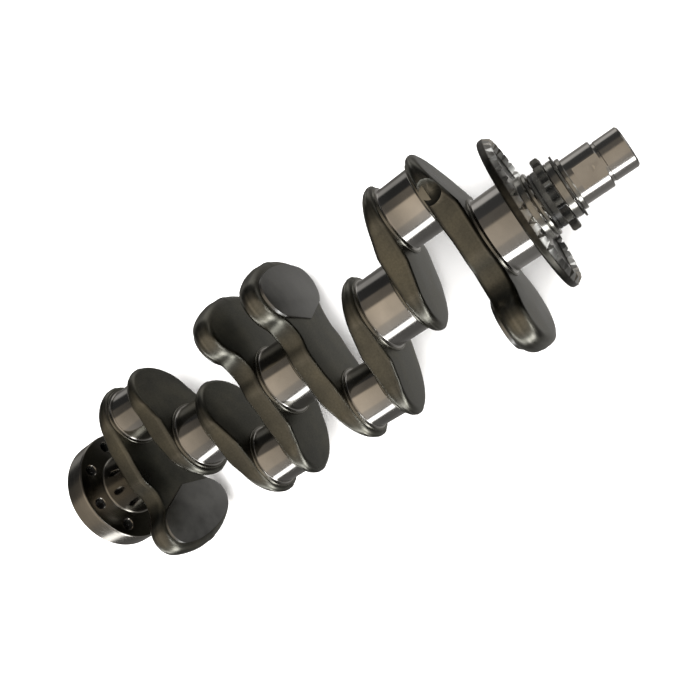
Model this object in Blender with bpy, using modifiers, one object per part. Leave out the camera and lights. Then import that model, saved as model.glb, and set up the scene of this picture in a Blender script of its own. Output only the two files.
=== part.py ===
"""Forged four-cylinder crankshaft with its pressed-on toothed wheel and chain drive.

The crankshaft lies flat: +X runs along the main journals towards the snout, the throws
lie along Y, and +Z is up. The origin is on the crank axis, at the middle of the centre
main journal. All dimensions are in millimetres until they are scaled by MM.
"""
import math

import bmesh
import bpy
from mathutils import Matrix, Vector

MM = 0.001
GAP = 0.3                        # clearance left between touching pieces

# Driving dimensions of the forging
BORE_PITCH = 98.0                # distance between neighbouring main journals
THROW = 47.5                     # crank axis to pin axis, half the stroke
MAIN_RADIUS = 28.0
MAIN_HALF = 14.0                 # half the width between two webs at a main journal
PIN_RADIUS = 24.5
PIN_HALF = 13.0                  # half the width between two webs at a crank pin
PIN_LOBE_RADIUS = 30.5           # web outline around a crank pin
MAIN_LOBE_RADIUS = 34.5          # web outline around a main journal
WEIGHT_RADIUS = 82.0             # counterweight's outer arc about the crank axis
WEIGHT_HALF_WIDTH = 50.0
WEIGHT_CORNER = 20.0
WEIGHT_NECK = 22.0               # hollow radius between counterweight and journal lobe
PIN_SLOPE = 14.0                 # how far the journal-side face falls back at the pin's end
JOURNAL_SLOPE = 13.0             # how far the pin-side face falls back at the journal's end
EDGE_ROUND = 2.5

# Flywheel flange, behind main journal 5
FLANGE_FRONT = -209.6
FLANGE_REAR = -229.0
FLANGE_RADIUS = 51.0
BOLT_CIRCLE_RADIUS = 40.3
BOLT_HOLE_RADIUS = 4.75
BOLT_COUNT = 8
PILOT_BORE_RADIUS = 11.0
PILOT_DEPTH = 14.0
DOWEL_RADIUS = 4.0
DOWEL_OUT = 5.0
DOWEL_IN = 12.0

# Snout and what is pressed on it, in front of main journal 1
WHEEL_BACK = 205.8
WHEEL_RADIUS = 57.0
WHEEL_PLATE = 4.2
WHEEL_TOOTH_LENGTH = 4.0
WHEEL_TOOTH_DEPTH = 6.0
WHEEL_TEETH = 36
WHEEL_HUB_RADIUS = 24.0
WHEEL_HUB_FRONT = 216.3
WASHER_FRONT = 219.2
WASHER_RADIUS = 23.2
SPROCKET_HUB_RADIUS = 20.4
SPROCKET_DISC_BACK = 225.8
SPROCKET_FRONT = 231.2
SPROCKET_TEETH = 12
SPROCKET_TURN = -4.0
SPROCKET_TIP_HALF_ANGLE = 3.2
CHAIN_PITCH = 12.7
ROLLER_RADIUS = 4.0
SPROCKET_TIP_RADIUS = 27.4
COLLAR_FRONT = 236.6
COLLAR_RADIUS = 20.5
DISC_FRONT = 238.1
DISC_RADIUS = 22.5
RING_FRONT = 241.2
RING_RADIUS = 18.6
SNOUT_RADIUS = 16.6
SNOUT_STEP = 260.7
SNOUT_END_RADIUS = 14.4
SNOUT_END = 278.2
SNOUT_CHAMFER = 1.0
FLAT_BACK = 244.6
FLAT_HEIGHT = 14.7               # crank axis to each oil-pump drive flat
PULLEY_BOLT_RADIUS = 6.0
PULLEY_BOLT_DEPTH = 32.0
KEY_HALF_WIDTH = 2.5
KEY_LOW = 14.5
KEY_HIGH = 18.8
KEY_BACK = 212.0
KEY_FRONT = 230.6

ROUND_STEPS = 48
FACE_X = (math.radians(90.0), 0.0, math.radians(90.0))   # a flat outline's normal turned to +X


def start_collections():
    """Empty the file and return the collections for the parts and for the cutters."""
    for old in list(bpy.data.objects):
        bpy.data.objects.remove(old, do_unlink=True)
    made = []
    for name in ("crankshaft", "cutters"):
        collection = bpy.data.collections.new(name)
        bpy.context.scene.collection.children.link(collection)
        made.append(collection)
    return made


PARTS, CUTTERS = start_collections()


def steel(name, colour, roughness, metallic=1.0):
    """Return a Principled material."""
    material = bpy.data.materials.new(name)
    material.use_nodes = True
    shader = material.node_tree.nodes["Principled BSDF"]
    shader.inputs["Base Color"].default_value = (*colour, 1.0)
    shader.inputs["Roughness"].default_value = roughness
    shader.inputs["Metallic"].default_value = metallic
    return material


GROUND = steel("ground_steel", (0.50, 0.47, 0.43), 0.18)
FORGED = steel("forged_steel", (0.060, 0.058, 0.052), 0.42)
BLACKED = steel("blacked_steel", (0.025, 0.025, 0.025), 0.38)
TURNED = steel("turned_steel", (0.34, 0.33, 0.31), 0.30)
BRONZE = steel("bearing_bronze", (0.45, 0.30, 0.15), 0.35)


def place(obj, collection, material=None):
    """Move an object to its collection and give it its material."""
    for owner in list(obj.users_collection):
        owner.objects.unlink(obj)
    collection.objects.link(obj)
    if material is not None:
        obj.data.materials.clear()
        obj.data.materials.append(material)
    if collection is CUTTERS:
        obj.hide_render = True
        obj.display_type = "WIRE"
    return obj


def smooth(obj, angle=35.0):
    """Shade smooth, with sharp edges past an angle in degrees."""
    obj.data.shade_smooth()
    obj.data.set_sharp_from_angle(angle=math.radians(angle))


def turned(name, profile, material, closed=False):
    """Turn a profile of (radius, x) points, from its front end backwards, about the X axis."""
    mesh = bpy.data.meshes.new(name)
    points = [(radius * MM, 0.0, x * MM) for radius, x in profile]
    edges = [(i, i + 1) for i in range(len(points) - 1)]
    if closed:
        edges.append((len(points) - 1, 0))
    mesh.from_pydata(points, edges, [])
    obj = bpy.data.objects.new(name, mesh)
    screw = obj.modifiers.new("turn", "SCREW")
    screw.axis = "Z"
    screw.steps = ROUND_STEPS
    screw.render_steps = ROUND_STEPS
    screw.use_merge_vertices = True
    screw.merge_threshold = 0.00001
    screw.use_smooth_shade = False
    obj.rotation_euler = (0.0, math.radians(90.0), 0.0)
    return place(obj, PARTS, material)


def ring(name, outer, bore, back, front, material, chamfer=0.4):
    """A turned ring with chamfered outer corners."""
    profile = [
        (bore, front),
        (outer - chamfer, front),
        (outer, front - chamfer),
        (outer, back + chamfer),
        (outer - chamfer, back),
        (bore, back),
    ]
    return turned(name, profile, material, closed=True)


def rod_x(name, radius, back, front, y, z, collection, material=None, vertices=ROUND_STEPS):
    """A plain cylinder along X."""
    bpy.ops.mesh.primitive_cylinder_add(
        vertices=vertices,
        radius=radius * MM,
        depth=(front - back) * MM,
        location=((back + front) / 2.0 * MM, y * MM, z * MM),
        rotation=(0.0, math.radians(90.0), 0.0),
    )
    obj = bpy.context.object
    obj.name = name
    smooth(obj)
    return place(obj, collection, material)


def block(name, low, high, collection, material=None):
    """A box between two corners in millimetres."""
    centre = [(a + b) / 2.0 * MM for a, b in zip(low, high)]
    size = [(b - a) * MM for a, b in zip(low, high)]
    bpy.ops.mesh.primitive_cube_add(size=1.0, location=centre)
    obj = bpy.context.object
    obj.name = name
    obj.data.transform(Matrix.Diagonal((*size, 1.0)))
    return place(obj, collection, material)


def cut(obj, cutter, operation="DIFFERENCE"):
    """Add a Boolean modifier."""
    boolean = obj.modifiers.new(cutter.name, "BOOLEAN")
    boolean.operation = operation
    boolean.solver = "EXACT"
    boolean.object = cutter


def slope_cutter(name, x_start, y_start, x_end, y_end):
    """A block whose lower face holds the line from start to end and every Z; it lies outside."""
    length = 3.0 * math.hypot(x_end - x_start, y_end - y_start)
    depth = 40.0
    along = Vector((x_end - x_start, y_end - y_start, 0.0)).normalized()
    outward = Vector((along.y, -along.x, 0.0))
    if outward.x * (x_start - x_end) < 0.0:
        outward = -outward
    start = Vector((x_start, y_start, 0.0))
    centre = start + along * (length / 2.0) + outward * (depth / 2.0)
    half = (length / 2.0, depth / 2.0, 90.0)
    obj = block(name, [-v for v in half], half, CUTTERS)
    obj.location = centre * MM
    obj.rotation_euler = (0.0, 0.0, math.atan2(along.y, along.x))
    return obj


def arc(centre, radius, start, end, count):
    """Points of an arc in the YZ plane, angles in radians from +Y towards +Z."""
    step = (end - start) / count
    return [
        (centre[0] + radius * math.cos(start + i * step), centre[1] + radius * math.sin(start + i * step))
        for i in range(count + 1)
    ]


def angle_to(origin, target):
    """Angle of the line from origin to target."""
    return math.atan2(target[1] - origin[1], target[0] - origin[0])


def small_web_half():
    """Upper half of a plain web's outline, from the pin's end to the journal's end."""
    tangent = math.acos((PIN_LOBE_RADIUS - MAIN_LOBE_RADIUS) / THROW)
    points = arc((THROW, 0.0), PIN_LOBE_RADIUS, 0.0, tangent, 9)
    return points + arc((0.0, 0.0), MAIN_LOBE_RADIUS, tangent, math.pi, 9)


def weight_web_half():
    """Upper half of a counterweight web's outline, from the pin's end to the weight's end."""
    axis = (0.0, 0.0)
    corner_reach = WEIGHT_RADIUS - WEIGHT_CORNER
    corner_z = WEIGHT_HALF_WIDTH - WEIGHT_CORNER
    corner = (-math.sqrt(corner_reach ** 2 - corner_z ** 2), corner_z)
    to_neck = MAIN_LOBE_RADIUS + WEIGHT_NECK
    from_corner = WEIGHT_CORNER + WEIGHT_NECK
    along = (to_neck ** 2 - from_corner ** 2 + corner_reach ** 2) / (2.0 * corner_reach)
    across = math.sqrt(to_neck ** 2 - along ** 2)
    unit = (corner[0] / corner_reach, corner[1] / corner_reach)
    neck = (along * unit[0] - across * -unit[1], along * unit[1] + across * -unit[0])
    tangent = math.acos((PIN_LOBE_RADIUS - MAIN_LOBE_RADIUS) / THROW)
    points = arc((THROW, 0.0), PIN_LOBE_RADIUS, 0.0, tangent, 9)
    points += arc(axis, MAIN_LOBE_RADIUS, tangent, angle_to(axis, neck), 2)
    neck_start = angle_to(neck, axis)
    neck_end = angle_to(neck, corner)
    points += arc(neck, WEIGHT_NECK, neck_start, neck_end, 5)[1:]
    points += arc(corner, WEIGHT_CORNER, angle_to(corner, neck), angle_to(axis, corner), 6)[1:]
    points += arc(axis, WEIGHT_RADIUS, angle_to(axis, corner), math.pi, 5)[1:]
    return points


def flat_plate(name, outline, back, front, material):
    """A plate of a closed YZ outline, made as a filled curve and turned into a mesh."""
    curve = bpy.data.curves.new(name, "CURVE")
    curve.dimensions = "2D"
    curve.fill_mode = "BOTH"
    curve.extrude = (front - back) / 2.0 * MM
    spline = curve.splines.new("POLY")
    spline.points.add(len(outline) - 1)
    for point, (y, z) in zip(spline.points, outline):
        point.co = (y * MM, z * MM, 0.0, 1.0)
    spline.use_cyclic_u = True
    source = bpy.data.objects.new(name + "_outline", curve)
    bpy.context.scene.collection.objects.link(source)
    source.location = ((back + front) / 2.0 * MM, 0.0, 0.0)
    source.rotation_euler = FACE_X
    bpy.context.view_layer.update()
    evaluated = source.evaluated_get(bpy.context.evaluated_depsgraph_get())
    mesh = bpy.data.meshes.new_from_object(evaluated)
    mesh.name = name
    welded = bmesh.new()
    welded.from_mesh(mesh)
    bmesh.ops.remove_doubles(welded, verts=welded.verts, dist=0.000001)
    bmesh.ops.dissolve_limit(
        welded, angle_limit=math.radians(0.5), verts=welded.verts, edges=welded.edges)
    bmesh.ops.recalc_face_normals(welded, faces=welded.faces)
    welded.to_mesh(mesh)
    welded.free()
    obj = bpy.data.objects.new(name, mesh)
    obj.matrix_world = source.matrix_world.copy()
    bpy.data.objects.remove(source, do_unlink=True)
    return place(obj, PARTS, material)


def make_web(number, pin_x, main_x, side, counterweight):
    """One web, between the crank pin at pin_x and the main journal at main_x."""
    towards_main = 1.0 if main_x > pin_x else -1.0
    pin_face = pin_x + towards_main * PIN_HALF
    main_face = main_x - towards_main * MAIN_HALF
    back, front = sorted((pin_face, main_face))
    half = weight_web_half() if counterweight else small_web_half()
    outline = half + [(y, -z) for y, z in reversed(half[1:-1])]
    outline = [(side * y, z) for y, z in outline]
    name = f"web_{number}"
    web = flat_plate(name, outline, back, front, FORGED)
    bevel = web.modifiers.new("round", "BEVEL")
    bevel.width = EDGE_ROUND * MM
    bevel.segments = 1
    bevel.limit_method = "ANGLE"
    bevel.angle_limit = math.radians(50.0)
    reach = THROW + PIN_LOBE_RADIUS
    start = side * (MAIN_RADIUS + 3.0)
    cut(web, slope_cutter(
        name + "_pin_slope", main_face, start, main_face - towards_main * PIN_SLOPE, side * reach))
    if not counterweight:
        start = side * (THROW - PIN_RADIUS - 3.0)
        cut(web, slope_cutter(
            name + "_main_slope", pin_face, start,
            pin_face + towards_main * JOURNAL_SLOPE, -side * MAIN_LOBE_RADIUS))


def make_forging():
    """Main journals, crank pins and webs, numbered from the snout."""
    main_x = [BORE_PITCH * (2 - i) for i in range(5)]
    pin_x = [BORE_PITCH * (1.5 - i) for i in range(4)]
    sides = (1.0, -1.0, -1.0, 1.0)
    for i, x in enumerate(main_x):
        front = x + MAIN_HALF - GAP
        back = x - MAIN_HALF + GAP
        if i == 0:
            front = WHEEL_BACK - GAP
        if i == 4:
            back = FLANGE_FRONT + GAP
        rod_x(f"main_journal_{i + 1}", MAIN_RADIUS, back, front, 0.0, 0.0, PARTS, GROUND)
    for i, x in enumerate(pin_x):
        rod_x(f"crank_pin_{i + 1}", PIN_RADIUS, x - PIN_HALF + GAP, x + PIN_HALF - GAP,
              sides[i] * THROW, 0.0, PARTS, GROUND)
    for i, x in enumerate(pin_x):
        front_number = 2 * i + 1
        make_web(front_number, x, main_x[i], sides[i], front_number in (1, 5))
        make_web(front_number + 1, x, main_x[i + 1], sides[i], front_number + 1 in (4, 8))


def make_flange():
    """Flywheel flange with its bolt holes, pilot bush and dowel."""
    chamfer = 1.0
    flange = turned("flywheel_flange", [
        (0.0, FLANGE_FRONT),
        (FLANGE_RADIUS - chamfer, FLANGE_FRONT),
        (FLANGE_RADIUS, FLANGE_FRONT - chamfer),
        (FLANGE_RADIUS, FLANGE_REAR + chamfer),
        (FLANGE_RADIUS - chamfer, FLANGE_REAR),
        (0.0, FLANGE_REAR),
    ], GROUND)
    cut(flange, rod_x("pilot_bore", PILOT_BORE_RADIUS, FLANGE_REAR - 5.0, FLANGE_REAR + PILOT_DEPTH,
                      0.0, 0.0, CUTTERS, vertices=32))
    for i in range(BOLT_COUNT):
        angle = 2.0 * math.pi * i / BOLT_COUNT
        cut(flange, rod_x(f"bolt_hole_{i + 1}", BOLT_HOLE_RADIUS, FLANGE_REAR - 5.0, FLANGE_FRONT + 5.0,
                          BOLT_CIRCLE_RADIUS * math.cos(angle), BOLT_CIRCLE_RADIUS * math.sin(angle),
                          CUTTERS, vertices=16))
    dowel_angle = math.pi / BOLT_COUNT
    dowel_y = BOLT_CIRCLE_RADIUS * math.cos(dowel_angle)
    dowel_z = BOLT_CIRCLE_RADIUS * math.sin(dowel_angle)
    cut(flange, rod_x("dowel_hole", DOWEL_RADIUS + GAP, FLANGE_REAR - 5.0,
                      FLANGE_REAR + DOWEL_IN + GAP, dowel_y, dowel_z, CUTTERS, vertices=20))
    rod_x("flywheel_dowel", DOWEL_RADIUS, FLANGE_REAR - DOWEL_OUT, FLANGE_REAR + DOWEL_IN,
          dowel_y, dowel_z, PARTS, TURNED, vertices=20)
    ring("pilot_bush", PILOT_BORE_RADIUS - GAP, 7.5, FLANGE_REAR + 0.5,
         FLANGE_REAR + PILOT_DEPTH - GAP, BRONZE)


def make_snout(keyway):
    """Front nose of the forging: gear seat, oil-pump drive flats, pulley seat and bolt hole."""
    snout = turned("front_snout", [
        (0.0, SNOUT_END),
        (SNOUT_END_RADIUS - SNOUT_CHAMFER, SNOUT_END),
        (SNOUT_END_RADIUS, SNOUT_END - SNOUT_CHAMFER),
        (SNOUT_END_RADIUS, SNOUT_STEP),
        (SNOUT_RADIUS - SNOUT_CHAMFER / 2.0, SNOUT_STEP),
        (SNOUT_RADIUS, SNOUT_STEP - SNOUT_CHAMFER / 2.0),
        (SNOUT_RADIUS, WHEEL_BACK),
        (0.0, WHEEL_BACK),
    ], GROUND)
    for name, low, high in (("upper_flat", FLAT_HEIGHT, 30.0), ("lower_flat", -30.0, -FLAT_HEIGHT)):
        cut(snout, block(name, (FLAT_BACK, -30.0, low), (SNOUT_STEP + 5.0, 30.0, high), CUTTERS))
    cut(snout, rod_x("pulley_bolt_hole", PULLEY_BOLT_RADIUS, SNOUT_END - PULLEY_BOLT_DEPTH,
                     SNOUT_END + 5.0, 0.0, 0.0, CUTTERS, vertices=24))
    cut(snout, keyway)


def make_toothed_wheel(keyway):
    """Plate with a rim of teeth that point forwards, on a short hub."""
    bore = SNOUT_RADIUS + GAP
    plate_front = WHEEL_BACK + WHEEL_PLATE
    rim_inner = WHEEL_RADIUS - WHEEL_TOOTH_DEPTH
    teeth_front = plate_front + WHEEL_TOOTH_LENGTH
    wheel = turned("toothed_wheel", [
        (bore, WHEEL_HUB_FRONT),
        (WHEEL_HUB_RADIUS, WHEEL_HUB_FRONT),
        (WHEEL_HUB_RADIUS + 1.0, plate_front + 1.5),
        (WHEEL_HUB_RADIUS + 3.0, plate_front),
        (rim_inner, plate_front),
        (rim_inner, teeth_front),
        (WHEEL_RADIUS - 1.5, teeth_front),
        (WHEEL_RADIUS, teeth_front - 2.0),
        (WHEEL_RADIUS, WHEEL_BACK + 2.0),
        (WHEEL_RADIUS - 2.0, WHEEL_BACK),
        (bore, WHEEL_BACK),
    ], BLACKED, closed=True)
    slot_half = math.pi * WHEEL_RADIUS / WHEEL_TEETH / 2.0
    slots = bmesh.new()
    for i in range(WHEEL_TEETH):
        turn = Matrix.Rotation(2.0 * math.pi * (i + 0.5) / WHEEL_TEETH, 4, "X")
        size = Matrix.Diagonal((12.0 * MM, 2.0 * slot_half * MM, 14.0 * MM, 1.0))
        shift = Matrix.Translation(((plate_front + 6.0) * MM, 0.0, (WHEEL_RADIUS - 3.0) * MM))
        bmesh.ops.create_cube(slots, size=1.0, matrix=turn @ shift @ size)
    mesh = bpy.data.meshes.new("tooth_slots")
    slots.to_mesh(mesh)
    slots.free()
    cut(wheel, place(bpy.data.objects.new("tooth_slots", mesh), CUTTERS))
    cut(wheel, keyway)


def sprocket_outline():
    """Roller-chain tooth outline: a seat arc for every roller and a narrow tip between seats."""
    pitch_radius = CHAIN_PITCH / (2.0 * math.sin(math.pi / SPROCKET_TEETH))
    points = []
    for i in range(SPROCKET_TEETH):
        middle = math.radians(SPROCKET_TURN) + 2.0 * math.pi * i / SPROCKET_TEETH
        seat = (pitch_radius * math.cos(middle), pitch_radius * math.sin(middle))
        points += arc(seat, ROLLER_RADIUS, middle - math.radians(105.0) + 2.0 * math.pi,
                      middle + math.radians(105.0), 4)
        tip = middle + math.pi / SPROCKET_TEETH
        for offset in (-math.radians(SPROCKET_TIP_HALF_ANGLE), math.radians(SPROCKET_TIP_HALF_ANGLE)):
            points.append((SPROCKET_TIP_RADIUS * math.cos(tip + offset),
                           SPROCKET_TIP_RADIUS * math.sin(tip + offset)))
    return points


def make_sprocket(keyway):
    """Chain sprocket: a toothed disc with a plain hub behind it."""
    bore = SNOUT_RADIUS + GAP
    sprocket = flat_plate("chain_sprocket", sprocket_outline(), SPROCKET_DISC_BACK, SPROCKET_FRONT, BLACKED)
    hub = rod_x("sprocket_hub_form", SPROCKET_HUB_RADIUS, WASHER_FRONT + GAP, SPROCKET_FRONT - 1.0,
                0.0, 0.0, CUTTERS)
    hole = rod_x("sprocket_bore", bore, WASHER_FRONT - 5.0, SPROCKET_FRONT + 5.0, 0.0, 0.0, CUTTERS)
    cut(sprocket, hub, "UNION")
    cut(sprocket, hole)
    cut(sprocket, keyway)


def make_front_drive():
    """Everything that is keyed or clamped on the snout."""
    keyway = block("keyway", (KEY_BACK - GAP, KEY_LOW - GAP, -KEY_HALF_WIDTH - GAP),
                   (KEY_FRONT + 5.0, KEY_HIGH + GAP, KEY_HALF_WIDTH + GAP), CUTTERS)
    block("drive_key", (KEY_BACK, KEY_LOW, -KEY_HALF_WIDTH),
          (KEY_FRONT, KEY_HIGH, KEY_HALF_WIDTH), PARTS, TURNED)
    bore = SNOUT_RADIUS + GAP
    make_snout(keyway)
    make_toothed_wheel(keyway)
    washer = ring("front_washer", WASHER_RADIUS, bore, WHEEL_HUB_FRONT + GAP, WASHER_FRONT, TURNED)
    cut(washer, keyway)
    make_sprocket(keyway)
    ring("spacer_collar", COLLAR_RADIUS, bore, SPROCKET_FRONT + GAP, COLLAR_FRONT, TURNED)
    ring("oil_slinger", DISC_RADIUS, bore, COLLAR_FRONT + GAP, DISC_FRONT, BLACKED, chamfer=0.2)
    ring("snout_ring", RING_RADIUS, bore, DISC_FRONT + GAP, RING_FRONT, TURNED)


make_forging()
make_flange()
make_front_drive()
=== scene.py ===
"""Studio picture of a forged four-cylinder crankshaft with its toothed wheel and chain drive.

+X runs along the main journals towards the snout, the throws lie along Y, and +Z is up.
Small dimensions are written in millimetres and scaled by MM; places come from the CAD boxes.
"""
import math

import bmesh
import bpy
import numpy as np
from mathutils import Matrix, Vector


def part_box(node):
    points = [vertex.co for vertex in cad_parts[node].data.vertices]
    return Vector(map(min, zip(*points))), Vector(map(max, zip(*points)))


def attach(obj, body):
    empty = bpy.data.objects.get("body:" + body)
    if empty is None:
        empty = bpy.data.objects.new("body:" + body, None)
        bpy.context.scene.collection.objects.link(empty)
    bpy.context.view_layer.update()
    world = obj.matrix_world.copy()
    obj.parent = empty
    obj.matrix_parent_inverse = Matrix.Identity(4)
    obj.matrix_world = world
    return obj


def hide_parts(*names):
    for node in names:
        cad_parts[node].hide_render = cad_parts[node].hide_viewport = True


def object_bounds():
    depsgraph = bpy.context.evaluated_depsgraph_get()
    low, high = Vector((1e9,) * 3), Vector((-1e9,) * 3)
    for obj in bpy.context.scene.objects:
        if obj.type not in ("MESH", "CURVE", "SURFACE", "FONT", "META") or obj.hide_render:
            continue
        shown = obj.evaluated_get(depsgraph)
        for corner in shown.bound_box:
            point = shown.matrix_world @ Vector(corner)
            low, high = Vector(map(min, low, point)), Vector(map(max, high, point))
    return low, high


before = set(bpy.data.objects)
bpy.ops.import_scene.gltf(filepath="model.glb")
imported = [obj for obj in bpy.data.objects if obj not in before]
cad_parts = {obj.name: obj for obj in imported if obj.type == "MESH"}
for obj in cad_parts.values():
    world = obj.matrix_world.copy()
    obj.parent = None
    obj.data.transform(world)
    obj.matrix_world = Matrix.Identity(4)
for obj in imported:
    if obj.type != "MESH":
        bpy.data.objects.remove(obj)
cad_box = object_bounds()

MM = 0.001
BODY = "root"
ROUND = 144                      # points round a turned surface


# ---------------------------------------------------------------- places from the CAD model

def span(node, axis=0):
    """Lowest and highest coordinate of a CAD node along an axis, in millimetres."""
    low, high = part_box(node)
    return low[axis] / MM, high[axis] / MM


def radius_of(node):
    """Outer radius of a turned CAD node, in millimetres."""
    low, high = span(node, 2)
    return (high - low) / 2.0


def centre_y(node):
    """Y of a CAD node's middle, in millimetres."""
    low, high = span(node, 1)
    return (low + high) / 2.0


MAIN_RADIUS = radius_of("main_journal_3")
PIN_RADIUS = radius_of("crank_pin_2")
THROW = centre_y("crank_pin_1")
CLEAR = 0.3                      # the CAD model's gap between touching pieces
WHEEL_PLATE = 4.2                # thickness of the toothed wheel's plate


# ---------------------------------------------------------------- mesh helpers

def keep(name, mesh, material, replaced=(), sharp=35.0):
    """Link a finished mesh as a piece that rides on the crankshaft's body."""
    obj = bpy.data.objects.new(name, mesh)
    bpy.context.scene.collection.objects.link(obj)
    mesh.materials.clear()
    mesh.materials.append(material)
    mesh.shade_smooth()
    mesh.set_sharp_from_angle(angle=math.radians(sharp))
    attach(obj, BODY)
    if replaced:
        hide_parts(*replaced)
    return obj


def mesh_from(name, points, faces):
    """A mesh from points in millimetres, its faces turned outwards."""
    mesh = bpy.data.meshes.new(name)
    mesh.from_pydata([tuple(p) for p in np.asarray(points, float) * MM], [], faces)
    work = bmesh.new()
    work.from_mesh(mesh)
    bmesh.ops.remove_doubles(work, verts=work.verts, dist=0.000001)
    bmesh.ops.recalc_face_normals(work, faces=work.faces)
    work.to_mesh(mesh)
    work.free()
    return mesh


def strip(first, second, count):
    """Quads between two closed rows of points, given the index where each row starts."""
    quads = []
    for i in range(count):
        j = (i + 1) % count
        quads.append((first + i, first + j, second + j, second + i))
    return quads


def turned_mesh(name, profile, y=0.0, z=0.0, steps=ROUND, closed=False):
    """A profile of (x, radius) points turned about an axis along X."""
    count = len(profile)
    turns = [2.0 * math.pi * i / steps for i in range(steps)]
    points = []
    for turn in turns:
        for x, radius in profile:
            points.append((x, y + radius * math.cos(turn), z + radius * math.sin(turn)))
    faces = []
    last = count if closed else count - 1
    for i in range(steps):
        j = (i + 1) % steps
        for k in range(last):
            m = (k + 1) % count
            faces.append((i * count + k, i * count + m, j * count + m, j * count + k))
    return mesh_from(name, points, faces)


def quarter(x0, r0, x1, r1, count=5):
    """Points of a quarter ellipse from (x0, r0) to (x1, r1) that leaves along the radius."""
    points = []
    for i in range(count + 1):
        a = math.pi / 2.0 * i / count
        points.append((x0 + (x1 - x0) * (1.0 - math.cos(a)), r0 + (r1 - r0) * math.sin(a)))
    return points


def carve(mesh, cutters):
    """Cut each cutter mesh out of a mesh and return the result."""
    base = bpy.data.objects.new("carved", mesh)
    bpy.context.scene.collection.objects.link(base)
    tools = []
    for cutter in cutters:
        tool = bpy.data.objects.new("cutter", cutter)
        bpy.context.scene.collection.objects.link(tool)
        boolean = base.modifiers.new("cut", "BOOLEAN")
        boolean.operation = "DIFFERENCE"
        boolean.solver = "EXACT"
        boolean.object = tool
        tools.append(tool)
    bpy.context.view_layer.update()
    evaluated = base.evaluated_get(bpy.context.evaluated_depsgraph_get())
    result = bpy.data.meshes.new_from_object(evaluated)
    result.name = mesh.name + "_cut"
    for obj in [base] + tools:
        bpy.data.objects.remove(obj, do_unlink=True)
    return result


def box_mesh(low, high):
    """A box between two corners in millimetres."""
    work = bmesh.new()
    size = [(b - a) * MM for a, b in zip(low, high)]
    middle = [(a + b) / 2.0 * MM for a, b in zip(low, high)]
    matrix = Matrix.Translation(middle) @ Matrix.Diagonal((*size, 1.0))
    bmesh.ops.create_cube(work, size=1.0, matrix=matrix)
    mesh = bpy.data.meshes.new("box")
    work.to_mesh(mesh)
    work.free()
    return mesh


def eased(value, width):
    """A ramp that is 0 below 0 and rises with slope 1 above it, rounded over a width."""
    return 0.5 * (value + np.sqrt(value * value + width * width))


def step(value, low, high):
    """Smooth step from 0 at low to 1 at high."""
    t = np.clip((value - low) / (high - low), 0.0, 1.0)
    return t * t * (3.0 - 2.0 * t)


# ---------------------------------------------------------------- materials

class Nodes:
    """A new material with a Principled shader, and short ways to add and wire its nodes."""

    def __init__(self, name, colour, roughness, metallic):
        self.material = bpy.data.materials.new(name)
        self.material.use_nodes = True
        self.tree = self.material.node_tree
        self.shader = self.tree.nodes["Principled BSDF"]
        self.shader.inputs["Base Color"].default_value = (*colour, 1.0)
        self.shader.inputs["Roughness"].default_value = roughness
        self.shader.inputs["Metallic"].default_value = metallic

    def add(self, kind, **values):
        """A new node; each value sets an input of that name, or else a property."""
        node = self.tree.nodes.new(kind)
        for key, value in values.items():
            if key in node.inputs:
                node.inputs[key].default_value = value
            else:
                setattr(node, key, value)
        return node

    def wire(self, output, target):
        """Link an output socket to an input socket."""
        self.tree.links.new(output, target)

    def place(self, scale):
        """Object coordinates, scaled per axis."""
        coordinates = self.add("ShaderNodeTexCoord")
        mapping = self.add("ShaderNodeMapping", Scale=scale)
        self.wire(coordinates.outputs["Object"], mapping.inputs["Vector"])
        return mapping.outputs["Vector"]

    def noise(self, scale, detail=4.0, roughness=0.55, stretch=(1.0, 1.0, 1.0)):
        """Noise on object coordinates, finer along an axis as its stretch grows."""
        texture = self.add("ShaderNodeTexNoise", Scale=scale, Detail=detail, Roughness=roughness)
        self.wire(self.place(stretch), texture.inputs["Vector"])
        return texture.outputs["Fac"]

    def between(self, factor, low, high, start=0.3, end=0.7):
        """Map a factor from start..end to low..high."""
        ranged = self.add("ShaderNodeMapRange")
        ranged.inputs["From Min"].default_value = start
        ranged.inputs["From Max"].default_value = end
        ranged.inputs["To Min"].default_value = low
        ranged.inputs["To Max"].default_value = high
        self.wire(factor, ranged.inputs["Value"])
        return ranged.outputs["Result"]

    def colours(self, factor, *stops):
        """A colour ramp of (position, colour) stops."""
        ramp = self.add("ShaderNodeValToRGB")
        elements = ramp.color_ramp.elements
        while len(elements) < len(stops):
            elements.new(0.5)
        for element, (position, colour) in zip(elements, stops):
            element.position = position
            element.color = (*colour, 1.0)
        self.wire(factor, ramp.inputs["Fac"])
        return ramp.outputs["Color"]

    def mix(self, factor, first, second, blend="MIX"):
        """Blend two colours; the factor is a number or a node's output."""
        mixer = self.add("ShaderNodeMix", data_type="RGBA", blend_type=blend)
        if isinstance(factor, float):
            mixer.inputs["Factor"].default_value = factor
        else:
            self.wire(factor, mixer.inputs["Factor"])
        self.wire(first, mixer.inputs["A"])
        self.wire(second, mixer.inputs["B"])
        return mixer.outputs["Result"]

    def bump(self, height, strength, distance):
        """Surface relief from a height, with a distance in metres."""
        bump = self.add("ShaderNodeBump", Strength=strength, Distance=distance)
        self.wire(height, bump.inputs["Height"])
        self.wire(bump.outputs["Normal"], self.shader.inputs["Normal"])


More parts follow.
